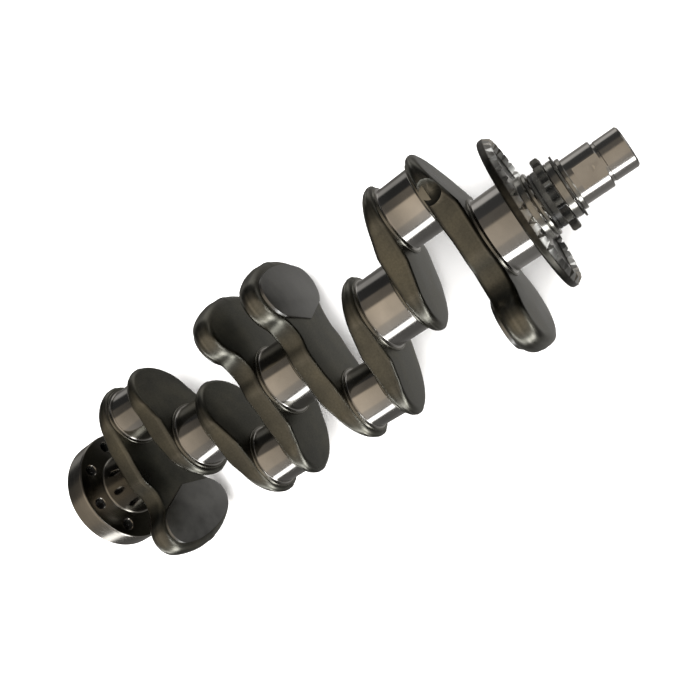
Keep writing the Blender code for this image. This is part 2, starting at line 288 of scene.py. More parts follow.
def ground_steel(name, colour, roughness, line=2600.0, face=None):
    """Cylindrically ground steel: fine lines round the X axis and a faint mottling.

    A face colour, where given, is painted shade: it covers the surfaces that look along X with a darker
    colour."""
    made = Nodes(name, colour, roughness, 1.0)
    lines = made.noise(1.0, detail=3.0, stretch=(line, 25.0, 25.0))
    cloud = made.noise(38.0, detail=5.0)
    darker = tuple(0.80 * c for c in colour)
    tone = made.colours(cloud, (0.30, darker), (0.70, colour))
    # Painted shade: the surfaces that look along X take the darker face colour.
    if face:
        geometry = made.add("ShaderNodeNewGeometry")
        separate = made.add("ShaderNodeSeparateXYZ")
        made.wire(geometry.outputs["Normal"], separate.inputs["Vector"])
        facing = made.add("ShaderNodeMath", operation="ABSOLUTE")
        made.wire(separate.outputs["X"], facing.inputs[0])
        flat = made.between(facing.outputs["Value"], 0.0, 1.0, start=0.75, end=0.95)
        turned = made.colours(cloud, (0.30, tuple(0.7 * c for c in face)), (0.70, face))
        tone = made.mix(flat, tone, turned)
    made.wire(tone, made.shader.inputs["Base Color"])
    made.wire(made.between(lines, roughness * 0.75, roughness * 1.35), made.shader.inputs["Roughness"])
    made.bump(lines, 0.10, 0.00002)
    made.shader.inputs["Anisotropic"].default_value = 0.35
    return made.material


def forged_steel(name):
    """Dark forged and phosphated steel: fine grain, oily patches, and lighter edges that are partly wear and
    partly a painted highlight.
    """
    made = Nodes(name, (0.20, 0.19, 0.16), 0.38, 1.0)
    grain = made.noise(650.0, detail=6.0, roughness=0.65)
    patches = made.noise(28.0, detail=5.0, roughness=0.6)
    base = made.colours(patches, (0.28, (0.112, 0.113, 0.102)), (0.52, (0.168, 0.166, 0.142)),
                        (0.74, (0.240, 0.230, 0.184)))
    speck = made.colours(grain, (0.30, (0.80, 0.80, 0.80)), (0.72, (1.10, 1.10, 1.08)))
    toned = made.mix(1.0, base, speck, blend="MULTIPLY")
    # Lighter, smoother edges: partly wear, partly a painted highlight along the forged ridges.
    geometry = made.add("ShaderNodeNewGeometry")
    edge_mask = made.between(geometry.outputs["Pointiness"], 0.0, 0.75, start=0.508, end=0.575)
    edge = made.add("ShaderNodeRGB")
    edge.outputs[0].default_value = (0.60, 0.58, 0.53, 1.0)
    made.wire(made.mix(edge_mask, toned, edge.outputs[0]), made.shader.inputs["Base Color"])
    polish = -0.16
    smoother = made.add("ShaderNodeMath", operation="MULTIPLY_ADD")
    smoother.inputs[1].default_value = polish
    made.wire(edge_mask, smoother.inputs[0])
    made.wire(made.between(patches, 0.27, 0.38), smoother.inputs[2])
    made.wire(smoother.outputs["Value"], made.shader.inputs["Roughness"])
    made.bump(grain, 0.10, 0.00008)
    return made.material


def machined_steel(name, colour, roughness):
    """Faced steel: soft mottling and a fine tooling grain."""
    made = Nodes(name, colour, roughness, 1.0)
    cloud = made.noise(60.0, detail=4.0)
    darker = tuple(0.62 * c for c in colour)
    made.wire(made.colours(cloud, (0.3, darker), (0.7, colour)), made.shader.inputs["Base Color"])
    made.wire(made.between(cloud, roughness * 0.8, roughness * 1.25), made.shader.inputs["Roughness"])
    fine = made.noise(900.0, detail=3.0)
    made.bump(fine, 0.08, 0.00004)
    return made.material


def toothed_steel(name):
    """The wheel's steel: dark heat-treated body, with bright cut teeth in front of it."""
    made = Nodes(name, (0.10, 0.10, 0.09), 0.30, 1.0)
    separate = made.add("ShaderNodeSeparateXYZ")
    made.wire(made.place((1.0, 1.0, 1.0)), separate.inputs["Vector"])
    plate_front = span("toothed_wheel")[0] + WHEEL_PLATE
    cut_face = made.between(separate.outputs["X"], 0.0, 1.0, start=(plate_front + 0.2) * MM,
                            end=(plate_front + 0.9) * MM)
    cloud = made.noise(150.0, detail=5.0)
    body = made.colours(cloud, (0.3, (0.045, 0.044, 0.038)), (0.75, (0.11, 0.105, 0.09)))
    teeth = made.colours(cloud, (0.3, (0.36, 0.36, 0.34)), (0.7, (0.68, 0.68, 0.65)))
    made.wire(made.mix(cut_face, body, teeth), made.shader.inputs["Base Color"])
    made.wire(made.between(cut_face, 0.32, 0.28, start=0.0, end=1.0), made.shader.inputs["Roughness"])
    made.bump(made.noise(800.0), 0.10, 0.00005)
    return made.material


def blacked_steel(name, colour, roughness, metallic):
    """Black-oxide steel: near black, slightly mottled, brighter where it's rubbed."""
    made = Nodes(name, colour, roughness, metallic)
    cloud = made.noise(120.0, detail=5.0)
    lighter = tuple(2.4 * c for c in colour)
    base = made.colours(cloud, (0.35, colour), (0.75, lighter))
    geometry = made.add("ShaderNodeNewGeometry")
    edge_mask = made.between(geometry.outputs["Pointiness"], 0.0, 0.5, start=0.54, end=0.66)
    edge = made.add("ShaderNodeRGB")
    edge.outputs[0].default_value = (0.12, 0.115, 0.10, 1.0)
    made.wire(made.mix(edge_mask, base, edge.outputs[0]), made.shader.inputs["Base Color"])
    made.wire(made.between(cloud, roughness * 0.8, roughness * 1.3), made.shader.inputs["Roughness"])
    made.bump(made.noise(700.0), 0.12, 0.00005)
    made.shader.inputs["Specular IOR Level"].default_value = 0.35
    return made.material


def sintered_bronze(name):
    """Porous oil-filled bronze."""
    made = Nodes(name, (0.42, 0.27, 0.12), 0.42, 1.0)
    pores = made.noise(1500.0, detail=4.0)
    made.wire(made.colours(pores, (0.35, (0.20, 0.12, 0.05)), (0.6, (0.45, 0.30, 0.14))),
              made.shader.inputs["Base Color"])
    made.bump(pores, 0.2, 0.00005)
    return made.material


GROUND = ground_steel("ground_journal", (0.62, 0.60, 0.57), 0.12)
SNOUT_STEEL = ground_steel("ground_snout", (0.58, 0.56, 0.53), 0.16)
# The flange's faces take a darker face colour, which is painted shade.
FLANGE_STEEL = ground_steel("polished_flange", (0.46, 0.44, 0.40), 0.20, line=1500.0,
                            face=(0.22, 0.21, 0.185))
FORGED = forged_steel("forged_web")
BOSS_STEEL = machined_steel("machined_boss", (0.34, 0.33, 0.29), 0.26)
PAD_STEEL = machined_steel("machined_pad", (0.38, 0.38, 0.37), 0.36)
TURNED = machined_steel("turned_steel", (0.56, 0.55, 0.51), 0.19)
WHEEL_STEEL = toothed_steel("wheel_steel")
BLACKED = blacked_steel("black_oxide", (0.006, 0.006, 0.0055), 0.24, 0.10)
BRONZE = sintered_bronze("pilot_bronze")


# ---------------------------------------------------------------- journals and pins

FILLET = 1.2                     # rolled fillet at each end of a journal or pin
BOSS_LIP = 2.8                   # how far the machined boss stands out round a journal or pin
BOSS_HEIGHT = 1.1                # how far a boss stands above the forged face
EMBED = 3.0                      # how far a journal runs on inside its webs


def ground_cylinder(name, back, front, radius, y, node, plain_front=False):
    """A ground journal with a rolled fillet towards each web."""
    profile = [(back - EMBED, 0.0), (back - EMBED, radius + FILLET)]
    profile += quarter(back, radius + FILLET, back + FILLET, radius)
    if plain_front:
        profile += [(front, radius), (front, 0.0)]
    else:
        profile += quarter(front, radius + FILLET, front - FILLET, radius)[::-1]
        profile += [(front + EMBED, radius + FILLET), (front + EMBED, 0.0)]
    keep(name, turned_mesh(name, profile, y=y), GROUND, (node,))


def make_journals():
    """Five main journals and four crank pins."""
    for number in range(1, 6):
        node = f"main_journal_{number}"
        back, front = span(node)
        ground_cylinder(f"ground_main_{number}", back - CLEAR, front + CLEAR, MAIN_RADIUS, 0.0, node,
                        plain_front=number == 1)
    for number in range(1, 5):
        node = f"crank_pin_{number}"
        back, front = span(node)
        ground_cylinder(f"ground_pin_{number}", back - CLEAR, front + CLEAR, PIN_RADIUS,
                        centre_y(node), node)


# ---------------------------------------------------------------- webs

PIN_LOBE = 30.5                  # outline radius round the pin
MAIN_LOBE = 34.5                 # outline radius round the main journal
WEIGHT_RADIUS = 82.0             # crank axis to the counterweight's far edge
WEIGHT_HALF_WIDTH = 50.0
WEIGHT_CORNER = 20.0             # outline radius at the counterweight's corners
NECK_RADIUS = 22.0               # hollow between the journal's lobe and the counterweight
PIN_FALL = 14.0                  # how far the journal-side face falls back at the pin's end
MAIN_FALL = 13.0                 # how far the pin-side face falls back at the journal's end
OUTLINE_POINTS = 208             # points round a web
FACE_RINGS = 30                  # rings across each face of a web
EDGE_RINGS = 9                   # rings across each rounded edge
EDGE_ROUND = 3.4                 # radius of the forged edges
WEIGHT_ROUND = 7.0               # radius of the edge round a counterweight
EDGE_SHARE = 0.40                # most of the thickness that one rounded edge may take
FACE_DRAFT = 0.045               # how much each forged face falls away per millimetre of |z|
FLASH_HALF = 2.6                 # half width of the trimmed forging seam, which lies at z = 0
FLASH_HEIGHT = 0.5               # how far the seam stands out
RIM_BULGE = 0.45                 # how far a web's rim stands out along its middle
CREASE = 1.3                     # softness of the crease where a face starts to fall away
PAD_APEX = -26.5                 # edge of a counterweight's machined pad on the centre line
PAD_SLANT = 0.30                 # how far that edge falls back per millimetre of |z|
PAD_INSET = 7.2                  # distance from the outline to the pad
PAD_DEPTH = 4.0                  # how far the pad runs on inside its counterweight
SPINE_END = -0.62 * WEIGHT_RADIUS  # end of the line that a counterweight's rings shrink to
CREASE_GAP = 3.5                 # from a bearing surface to the crease beside it
DRAFT_START = 14.0               # |z| where the draft sets in
DRAFT_SOFTNESS = 6.0
NECK_DIP = 0.8                   # how far a counterweight's pin side sinks at its neck
DISH_RADIUS = 9.6
DISH_DEPTH = 6.9
DISH_STEPS = 64


def arc(centre, radius, start, end, count=40):
    """Points of an arc, angles from +u towards +z."""
    return [(centre[0] + radius * math.cos(start + (end - start) * i / count),
             centre[1] + radius * math.sin(start + (end - start) * i / count)) for i in range(count + 1)]


def angle_to(origin, target):
    """Angle of the line from origin to target."""
    return math.atan2(target[1] - origin[1], target[0] - origin[0])


def web_half(counterweight):
    """Upper half of a web's outline, from the pin's end round to the other end."""
    axis = (0.0, 0.0)
    tangent = math.acos((PIN_LOBE - MAIN_LOBE) / THROW)
    points = arc((THROW, 0.0), PIN_LOBE, 0.0, tangent)
    if not counterweight:
        return points + arc(axis, MAIN_LOBE, tangent, math.pi)
    reach = WEIGHT_RADIUS - WEIGHT_CORNER
    corner_z = WEIGHT_HALF_WIDTH - WEIGHT_CORNER
    corner = (-math.sqrt(reach ** 2 - corner_z ** 2), corner_z)
    to_neck = MAIN_LOBE + NECK_RADIUS
    from_corner = WEIGHT_CORNER + NECK_RADIUS
    along = (to_neck ** 2 - from_corner ** 2 + reach ** 2) / (2.0 * reach)
    across = math.sqrt(to_neck ** 2 - along ** 2)
    unit = (corner[0] / reach, corner[1] / reach)
    neck = (along * unit[0] + across * unit[1], along * unit[1] - across * unit[0])
    points += arc(axis, MAIN_LOBE, tangent, angle_to(axis, neck), 6)
    points += arc(neck, NECK_RADIUS, angle_to(neck, axis), angle_to(neck, corner))[1:]
    points += arc(corner, WEIGHT_CORNER, angle_to(corner, neck), angle_to(axis, corner))[1:]
    points += arc(axis, WEIGHT_RADIUS, angle_to(axis, corner), math.pi)[1:]
    return points


def resampled(points, count):
    """A closed outline resampled to evenly spaced points."""
    points = np.array(points, float)
    closed = np.vstack([points, points[:1]])
    lengths = np.concatenate([[0.0], np.cumsum(np.linalg.norm(np.diff(closed, axis=0), axis=1))])
    wanted = np.linspace(0.0, lengths[-1], count, endpoint=False)
    return np.stack([np.interp(wanted, lengths, closed[:, i]) for i in range(2)], axis=1)


def web_faces(u, z, counterweight, thickness):
    """Depth of the pin-side and journal-side faces at (u, z), measured from the pin's side."""
    pin_reach = THROW + PIN_LOBE
    draft = FACE_DRAFT * eased(np.abs(z) - DRAFT_START, DRAFT_SOFTNESS)
    pin_side = BOSS_HEIGHT + draft
    main_side = thickness - BOSS_HEIGHT - draft
    start = MAIN_RADIUS + CREASE_GAP
    fall = PIN_FALL - BOSS_HEIGHT
    main_side = main_side - fall * eased(u - start, CREASE) / (pin_reach - start)
    if counterweight:
        neck = step(u, -24.0, -8.0) * (1.0 - step(u, 10.0, 24.0))
        pin_side = pin_side + NECK_DIP * neck
    else:
        start = THROW - PIN_RADIUS - CREASE_GAP
        fall = MAIN_FALL - BOSS_HEIGHT
        pin_side = pin_side + fall * eased(start - u, CREASE) / (start + MAIN_LOBE)
    return pin_side, main_side


def closed_outline(counterweight, count):
    """A web's whole outline as evenly spaced points."""
    half = web_half(counterweight)
    return resampled(half + [(u, -z) for u, z in reversed(half[1:-1])], count)


def towards_spine(outline, counterweight):
    """Unit vectors and distances from an outline to the line along the middle of its web."""
    spine_end = SPINE_END if counterweight else 0.0
    spine_u = np.clip(outline[:, 0], spine_end, THROW)
    inward = np.stack([spine_u, np.zeros(len(outline))], axis=1) - outline
    reach = np.linalg.norm(inward, axis=1)
    return inward / reach[:, None], reach


def edge_drop(inset, edge, thickness):
    """How far a face falls to a rounded edge, at a distance from the outline."""
    rise = 1.0 - np.clip(inset / edge, 0.0, 1.0)
    most = np.minimum(edge, EDGE_SHARE * thickness)
    return most * (1.0 - np.sqrt(np.clip(1.0 - rise * rise, 0.0, 1.0)))


def web_mesh(name, pin_face, main_face, side, counterweight):
    """One web as two faces of concentric rings and a rounded rim between them."""
    count = OUTLINE_POINTS
    outline = closed_outline(counterweight, count)
    unit, reach = towards_spine(outline, counterweight)
    off_seam = step(np.abs(outline[:, 1]), FLASH_HALF - 0.5, FLASH_HALF + 0.5)
    outline = outline + unit * (FLASH_HEIGHT * off_seam)[:, None]
    reach = reach - FLASH_HEIGHT * off_seam
    thickness = abs(main_face - pin_face)
    towards_main = 1.0 if main_face > pin_face else -1.0

    lobe = step(-outline[:, 0], 26.0, 40.0) if counterweight else np.zeros(count)
    edge = EDGE_ROUND + (WEIGHT_ROUND - EDGE_ROUND) * lobe
    turns = [math.pi / 2.0 * i / EDGE_RINGS for i in range(EDGE_RINGS + 1)]
    rings = [edge * (1.0 - math.cos(turn)) for turn in turns]
    rings += [edge + (reach - edge) * i / FACE_RINGS for i in range(1, FACE_RINGS + 1)]

    points = []
    for on_pin_side in (True, False):
        for inset in rings:
            flat = outline + unit * inset[:, None]
            pin_side, main_side = web_faces(flat[:, 0], flat[:, 1], counterweight, thickness)
            drop = edge_drop(inset, edge, main_side - pin_side)
            depth = pin_side + drop if on_pin_side else main_side - drop
            points.append(np.stack([pin_face + towards_main * depth, side * flat[:, 0], flat[:, 1]], axis=1))
    points = np.concatenate(points)
    pin_rim = 0
    main_rim = len(rings) * count
    middle_rim = 2 * main_rim
    faces = []
    for rim in (pin_rim, main_rim):
        for ring in range(len(rings) - 1):
            faces += strip(rim + ring * count, rim + (ring + 1) * count, count)
    bulge = outline - unit * RIM_BULGE * off_seam[:, None]
    middle = (points[:count, 0] + points[main_rim:main_rim + count, 0]) / 2.0
    points = np.vstack([points, np.stack([middle, side * bulge[:, 0], bulge[:, 1]], axis=1)])
    faces += strip(pin_rim, middle_rim, count)
    faces += strip(middle_rim, main_rim, count)
    return mesh_from(name, points, faces)


def weight_pad(name, face_x, outward, side):
    """The flat machined on a counterweight's pin side, with a V-shaped edge towards the axis."""
    outline = closed_outline(True, 4 * OUTLINE_POINTS)
    unit, _ = towards_spine(outline, True)
    inner = outline + unit * PAD_INSET
    kept = inner[inner[:, 0] < PAD_APEX - PAD_SLANT * np.abs(inner[:, 1])]
    turn = np.arctan2(kept[:, 1], kept[:, 0] - SPINE_END) % (2.0 * math.pi)
    loop = [tuple(point) for point in kept[np.argsort(turn)]] + [(PAD_APEX, 0.0)]
    work = bmesh.new()
    face = work.faces.new([work.verts.new((face_x * MM, side * u * MM, z * MM)) for u, z in loop])
    grown = bmesh.ops.extrude_face_region(work, geom=[face])
    moved = [item for item in grown["geom"] if isinstance(item, bmesh.types.BMVert)]
    bmesh.ops.translate(work, verts=moved, vec=(-outward * PAD_DEPTH * MM, 0.0, 0.0))
    bmesh.ops.recalc_face_normals(work, faces=work.faces)
    top_edges = []
    for edge in work.edges:
        if all(abs(vert.co.x - face_x * MM) < 1e-7 for vert in edge.verts):
            top_edges.append(edge)
    bmesh.ops.bevel(work, geom=top_edges, offset=0.35 * MM, segments=2, profile=0.5, affect="EDGES")
    mesh = bpy.data.meshes.new(name)
    work.to_mesh(mesh)
    work.free()
    keep(name, mesh, PAD_STEEL, sharp=40.0)


def drilled_dish(mesh, x, y, top):
    """A shallow balancing hole left by a drill's point in a web's rim."""
    clearance = 6.0
    turns = [2.0 * math.pi * i / DISH_STEPS for i in range(DISH_STEPS)]
    points = [(x, y, top - DISH_DEPTH)]
    for level in (0.0, clearance):
        for turn in turns:
            points.append((x + DISH_RADIUS * math.cos(turn), y + DISH_RADIUS * math.sin(turn), top + level))
    points.append((x, y, top + clearance))
    lower = 1
    upper = lower + DISH_STEPS
    last = upper + DISH_STEPS
    faces = strip(lower, upper, DISH_STEPS)
    for i in range(DISH_STEPS):
        j = (i + 1) % DISH_STEPS
        faces.append((0, lower + j, lower + i))
        faces.append((last, upper + i, upper + j))
    return carve(mesh, [mesh_from("dish", points, faces)])


def boss(name, top, outward, radius, y):
    """Machined ring where a journal or pin meets its web."""
    inner = top - outward * 6.0
    outer = radius + BOSS_LIP
    rounding = 0.9
    profile = [(inner, 0.0), (inner, outer + 0.3)]
    profile += quarter(top, outer - rounding, top - outward * rounding, outer)[::-1]
    profile += [(top, 0.0)]
    keep(name, turned_mesh(name, profile, y=y), BOSS_STEEL)


def make_webs():
    """Eight webs with their bosses and pads, numbered from the snout."""
    for number in range(1, 9):
        node = f"web_{number}"
        pin = f"crank_pin_{(number + 1) // 2}"
        main = f"main_journal_{number // 2 + 1}"
        back, front = span(pin)
        side = 1.0 if centre_y(pin) > 0.0 else -1.0
        main_is_ahead = number % 2 == 1
        pin_face = front + CLEAR if main_is_ahead else back - CLEAR
        main_back, main_front = span(main)
        main_face = main_back - CLEAR if main_is_ahead else main_front + CLEAR
        counterweight = number in (1, 4, 5, 8)
        mesh = web_mesh(f"forged_web_{number}", pin_face, main_face, side, counterweight)
        if number == 1:
            mesh = drilled_dish(mesh, pin_face + 7.0, side * (THROW + 0.5), PIN_LOBE - 0.6)
        keep(f"forged_web_{number}", mesh, FORGED, (node,), sharp=38.0)
        outward = -1.0 if main_is_ahead else 1.0
        if counterweight:
            weight_pad(f"weight_pad_{number}", pin_face, outward, side)
        boss(f"pin_boss_{number}", pin_face, outward, PIN_RADIUS, side * THROW)
        boss(f"main_boss_{number}", main_face, -outward, MAIN_RADIUS, 0.0)


# ---------------------------------------------------------------- flywheel flange

BOLT_HOLES = 8
BOLT_CIRCLE = 40.3               # radius of the circle that the bolt holes lie on
BOLT_HOLE = 4.75
THREAD_PITCH = 1.4
THREAD_DEPTH = 0.75
PILOT_DEPTH = 14.0


def bolt_places():
    """Centres of the flange's bolt holes, as (y, z)."""
    turns = [2.0 * math.pi * i / BOLT_HOLES for i in range(BOLT_HOLES)]
    return [(BOLT_CIRCLE * math.cos(turn), BOLT_CIRCLE * math.sin(turn)) for turn in turns]


def make_threads(back, front):
    """Threads cut in the flange's bolt holes, as one mesh of grooved tubes, in near-black that is painted
    shade inside the holes.
    """
    wall = BOLT_HOLE + 0.2
    root = BOLT_HOLE - 0.1
    profile = [(back, wall), (back, root + 0.05)]
    for turn in range(int((front - back) / THREAD_PITCH)):
        crest = back + (turn + 0.5) * THREAD_PITCH
        profile += [(crest - 0.3, root), (crest, BOLT_HOLE - THREAD_DEPTH), (crest + 0.3, root)]
    profile += [(front, root + 0.05), (front, wall)]
    work = bmesh.new()
    for y, z in bolt_places():
        tube = turned_mesh("thread", profile, y, z, steps=32, closed=True)
        work.from_mesh(tube)
        bpy.data.meshes.remove(tube)
    mesh = bpy.data.meshes.new("flange_threads_painted_shade")
    work.to_mesh(mesh)
    work.free()
    # Near-black finish: painted shade inside the bolt holes.
    keep("flange_threads_painted_shade", mesh, BLACKED)


def make_flange():
    """Rear flange with countersunk bolt holes and a pilot bore, and its dowel and bush."""
    back, front = span("flywheel_flange")
    outer = radius_of("flywheel_flange")
    pilot = radius_of("pilot_bush") + CLEAR
    chamfer = 1.2
    rounding = 1.6
    profile = [(front + 2.4, 0.0), (front + 2.4, MAIN_RADIUS - 0.1)]
    profile += quarter(front, MAIN_RADIUS + 2.0, front + 2.0, MAIN_RADIUS + 0.03)[::-1]
    profile += quarter(front, outer - rounding, front - rounding, outer)
    profile += [(back + chamfer, outer), (back, outer - chamfer), (back, pilot + chamfer),
                (back + chamfer, pilot), (back + PILOT_DEPTH, pilot), (back + PILOT_DEPTH, 0.0)]
    flange = turned_mesh("flange_form", profile)
    bolt_hole = [(back - 3.0, 0.0), (back - 3.0, BOLT_HOLE + 3.7), (back + 0.7, BOLT_HOLE),
                 (front - 0.5, BOLT_HOLE), (front + 3.0, BOLT_HOLE + 3.5), (front + 3.0, 0.0)]
    holes = [turned_mesh("hole", bolt_hole, y, z, steps=32) for y, z in bolt_places()]
    dowel_y = centre_y("flywheel_dowel")
    dowel_z = sum(span("flywheel_dowel", 2)) / 2.0
    dowel_back, dowel_front = span("flywheel_dowel")
    dowel = radius_of("flywheel_dowel")
    dowel_hole = [
        (back - 3.0, 0.0), (back - 3.0, dowel + 0.1), (dowel_front, dowel + 0.1), (dowel_front, 0.0),
    ]
    holes.append(turned_mesh("hole", dowel_hole, dowel_y, dowel_z, steps=32))
    keep("flange", carve(flange, holes), FLANGE_STEEL, ("flywheel_flange",), sharp=28.0)
    make_threads(back + 0.9, front - 0.7)
    profile = [(dowel_back, 0.0)]
    profile += quarter(dowel_back, dowel - 1.0, dowel_back + 1.2, dowel)
    profile += [(dowel_front - 0.5, dowel), (dowel_front - 0.5, 0.0)]
    keep("dowel", turned_mesh("dowel", profile, dowel_y, dowel_z, steps=48), TURNED,
         ("flywheel_dowel",))
    make_bush()


def make_bush():
    """Bronze bush for the gearbox shaft, in the flange's pilot bore."""
    back, front = span("pilot_bush")
    outer = radius_of("pilot_bush")
    bore = 7.5
    profile = [(back, bore + 0.8), (back, outer - 0.5), (back + 0.5, outer), (front, outer), (front, bore),
               (back + 0.8, bore)]
    keep("bush", turned_mesh("bush", profile, closed=True), BRONZE, ("pilot_bush",))


# ---------------------------------------------------------------- snout and front drive

SEAT_RADIUS = radius_of("front_snout")
RING_BORE = SEAT_RADIUS + 0.05   # bore of everything that sits on the snout
SNOUT_END_RADIUS = 14.4
SNOUT_STEP = 260.7               # x of the step down to the thinner end
FLAT_HEIGHT = 14.7               # crank axis to each drive flat
FLAT_BACK = 244.6
PULLEY_BOLT = 6.0
PULLEY_BOLT_DEPTH = 32.0
DENT_SPHERE = 14.0
DENT_DEPTH = 0.2


def ring_piece(name, node, material, grooves=(), chamfer=0.4):
    """A turned ring with chamfered corners and grooves of (distance from back, depth)."""
    back, front = span(node)
    outer = radius_of(node)
    profile = [(back, RING_BORE), (back, outer - chamfer), (back + chamfer, outer)]
    for at, depth in grooves:
        profile += [(back + at - 0.3, outer), (back + at - 0.2, outer - depth),
                    (back + at + 0.2, outer - depth), (back + at + 0.3, outer)]
    profile += [(front - chamfer, outer), (front, outer - chamfer), (front, RING_BORE)]
    keep(name, turned_mesh(name, profile, closed=True), material, (node,))


def punch_mark(x, y):
    """A round hardness-test dent, as a cutter that dips into the upper flat."""
    middle = Matrix.Translation((x * MM, y * MM, (FLAT_HEIGHT + DENT_SPHERE - DENT_DEPTH) * MM))
    work = bmesh.new()
    bmesh.ops.create_uvsphere(work, u_segments=48, v_segments=96, radius=DENT_SPHERE * MM, matrix=middle)
    mesh = bpy.data.meshes.new("dent")
    work.to_mesh(mesh)
    work.free()
    return mesh


def make_snout():
    """Stepped nose with two drive flats, an undercut at the step and a pulley bolt hole."""
    back, front = span("front_snout")
    end = SNOUT_END_RADIUS
    undercut = end - 0.5
    chamfer = 1.0
    profile = [(back, 0.0), (back, SEAT_RADIUS), (SNOUT_STEP - 0.6, SEAT_RADIUS),
               (SNOUT_STEP, SEAT_RADIUS - 0.6), (SNOUT_STEP, undercut), (SNOUT_STEP + 1.6, undercut),
               (SNOUT_STEP + 2.0, end), (front - chamfer, end), (front, end - chamfer), (front, 0.0)]
    bolt_hole = [(front - PULLEY_BOLT_DEPTH, 0.0), (front - PULLEY_BOLT_DEPTH, PULLEY_BOLT),
                 (front - 1.2, PULLEY_BOLT), (front + 2.0, PULLEY_BOLT + 3.2), (front + 2.0, 0.0)]
    beyond = 30.0
    flat_front = SNOUT_STEP + 8.0
    cutters = [
        box_mesh((FLAT_BACK, -beyond, FLAT_HEIGHT), (flat_front, beyond, beyond)),
        box_mesh((FLAT_BACK, -beyond, -beyond), (flat_front, beyond, -FLAT_HEIGHT)),
        turned_mesh("hole", bolt_hole, steps=48),
        punch_mark(253.8, 1.0),
    ]
    keep("snout", carve(turned_mesh("snout_form", profile), cutters), SNOUT_STEEL,
         ("front_snout",), sharp=28.0)


WHEEL_TEETH = 36
TOOTH_LENGTH = 4.0
TOOTH_DEPTH = 6.5                # from the wheel's edge to the inside of its ring of teeth
WHEEL_HUB = 24.0


def slot_cutters(outer, rim, plate, teeth_front):
    """Wedges between the wheel's teeth, as one mesh that cuts them."""
    pitch = math.pi * outer / WHEEL_TEETH
    levels = ((plate + 0.1, 0.10 * pitch), (teeth_front + 1.0, 0.62 * pitch))
    sides = ((0, 1, 3, 2), (4, 6, 7, 5), (0, 4, 5, 1), (2, 3, 7, 6), (0, 2, 6, 4), (1, 5, 7, 3))
    work = bmesh.new()
    for i in range(WHEEL_TEETH):
        turn = 2.0 * math.pi * (i + 0.5) / WHEEL_TEETH
        corners = []
        for x, half in levels:
            for radius in (rim - 6.0, outer + 4.0):
                for across in (-half, half):
                    wide = across * radius / outer
                    y = radius * math.cos(turn) - wide * math.sin(turn)
                    z = radius * math.sin(turn) + wide * math.cos(turn)
                    corners.append(work.verts.new((x * MM, y * MM, z * MM)))
        for side in sides:
            work.faces.new([corners[k] for k in side])
    bmesh.ops.recalc_face_normals(work, faces=work.faces)
    mesh = bpy.data.meshes.new("slots")
    work.to_mesh(mesh)
    work.free()
    return mesh


def make_wheel():
    """Toothed wheel: a plate with a smooth edge, teeth that point forwards, and a bright hub."""
    back, _ = span("toothed_wheel")
    outer = radius_of("toothed_wheel")
    plate = back + WHEEL_PLATE
    rim = outer - TOOTH_DEPTH
    teeth_front = plate + TOOTH_LENGTH
    profile = [(back, WHEEL_HUB - 1.0)]
    profile += quarter(back, outer - 2.0, back + 2.0, outer)
    profile += [(plate, outer), (teeth_front - 0.3, outer - 2.6), (teeth_front, outer - 3.1),
                (teeth_front, rim + 0.9), (plate + 0.4, rim - 0.8), (plate, rim - 1.4),
                (plate, WHEEL_HUB - 1.0)]
    wheel = turned_mesh("wheel_form", profile, steps=288, closed=True)
    slots = slot_cutters(outer, rim, plate, teeth_front)
    keep("wheel", carve(wheel, [slots]), WHEEL_STEEL, ("toothed_wheel",), sharp=28.0)
    front = span("front_washer")[0] - CLEAR
    inside = WHEEL_HUB - 0.9
    hub = WHEEL_HUB - 0.4
    flare = WHEEL_HUB + 4.6
    profile = [(back + 0.2, RING_BORE), (back + 0.2, inside)]
    profile += [(plate - 0.4, inside), (plate - 0.4, flare + 0.4)]
    profile += quarter(plate + 0.3, flare, plate + 2.4, hub)
    profile += [(front - 0.7, hub), (front, hub - 0.7), (front, RING_BORE)]
    keep("wheel_hub", turned_mesh("wheel_hub", profile, closed=True), TURNED)


SPROCKET_TEETH = 12
CHAIN_PITCH = 12.7
ROLLER_RADIUS = 4.0
SPROCKET_TURN = math.radians(-4.0)
TIP_HALF_ANGLE = math.radians(3.2)
SPROCKET_DISC = 5.4              # thickness of the toothed disc
SPROCKET_HUB = 20.4


def sprocket_outline(tip):
    """Outline of the toothed disc: a roller seat and a slim, rounded tooth in turn."""
    pitch_radius = CHAIN_PITCH / (2.0 * math.sin(math.pi / SPROCKET_TEETH))
    seat_start = math.radians(255.0)
    seat_end = math.radians(105.0)
    crown_points = ((-1.0, tip - 0.7), (-0.5, tip), (0.5, tip), (1.0, tip - 0.7))
    outline = []
    for i in range(SPROCKET_TEETH):
        middle = SPROCKET_TURN + 2.0 * math.pi * i / SPROCKET_TEETH
        seat = (pitch_radius * math.cos(middle), pitch_radius * math.sin(middle))
        outline += arc(seat, ROLLER_RADIUS, middle + seat_start, middle + seat_end, 18)
        for share, reach in crown_points:
            angle = middle + math.pi / SPROCKET_TEETH + share * TIP_HALF_ANGLE
            outline.append((reach * math.cos(angle), reach * math.sin(angle)))
    return np.array(outline)


